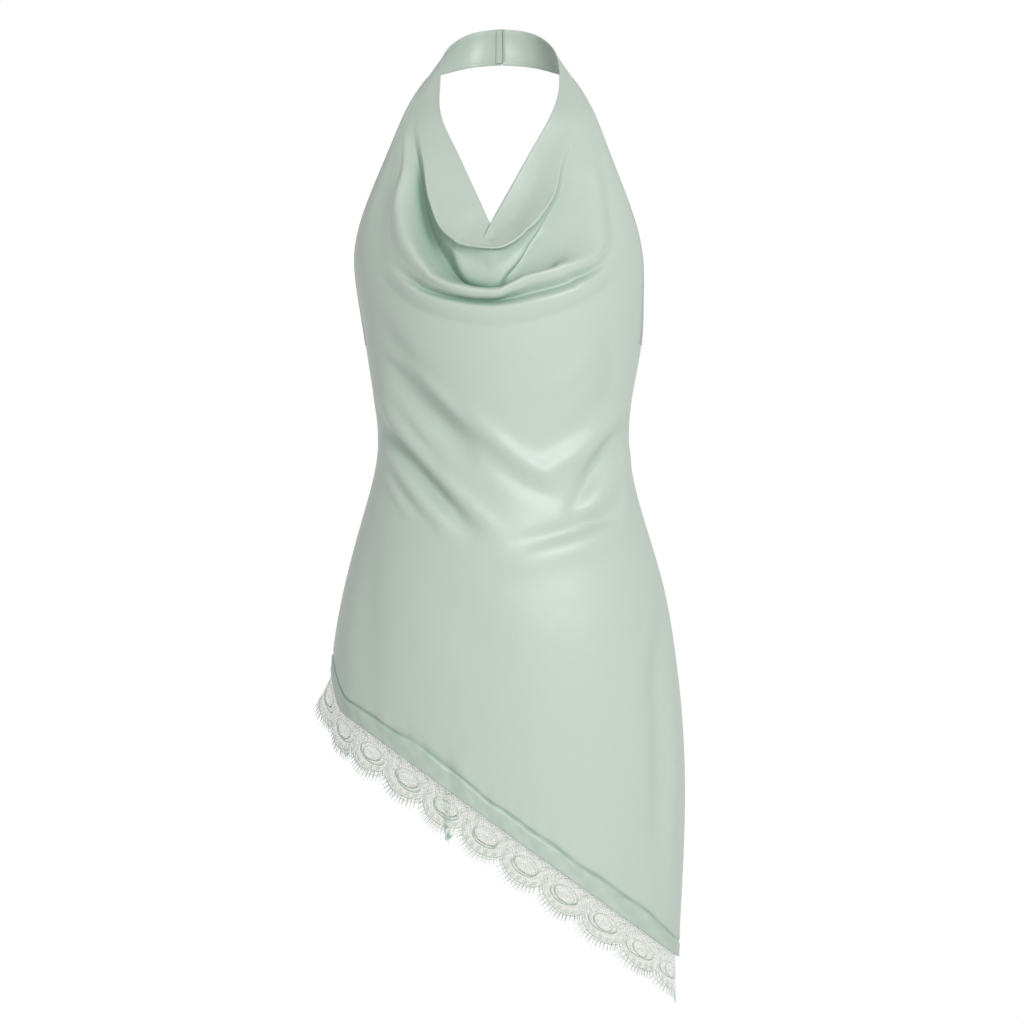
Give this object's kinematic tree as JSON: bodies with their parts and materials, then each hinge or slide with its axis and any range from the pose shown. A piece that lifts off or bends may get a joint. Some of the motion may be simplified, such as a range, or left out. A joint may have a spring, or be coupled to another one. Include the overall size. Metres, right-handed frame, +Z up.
{
  "type": "halter neck top",
  "caption": "Sleeveless satin halter neck top with a draped cowl neckline, an open back and a slanting hem edged in scalloped eyelash lace, held in its worn shape",
  "frame": {"origin": "at the inner face of the neck strap at the nape, where the wearer's neck holds the top up", "axes": "+X to the right as seen from the front, +Y to the back (the cowl faces -Y), +Z up"},
  "size_m": [0.3694, 0.2402, 0.9795],
  "materials": {
    "satin": "soft mint satin with a low sheen",
    "lace": "matte mint lace"
  },
  "bodies": {
    "root": {"front_panel": "satin", "back_panel": "satin", "armhole_binding_left": "satin", "armhole_binding_right": "satin", "nape_seam": "satin", "lace_front": "lace", "lace_back": "lace", "eyelash_front": "lace", "eyelash_back": "lace"}
  },
  "joints": []
}
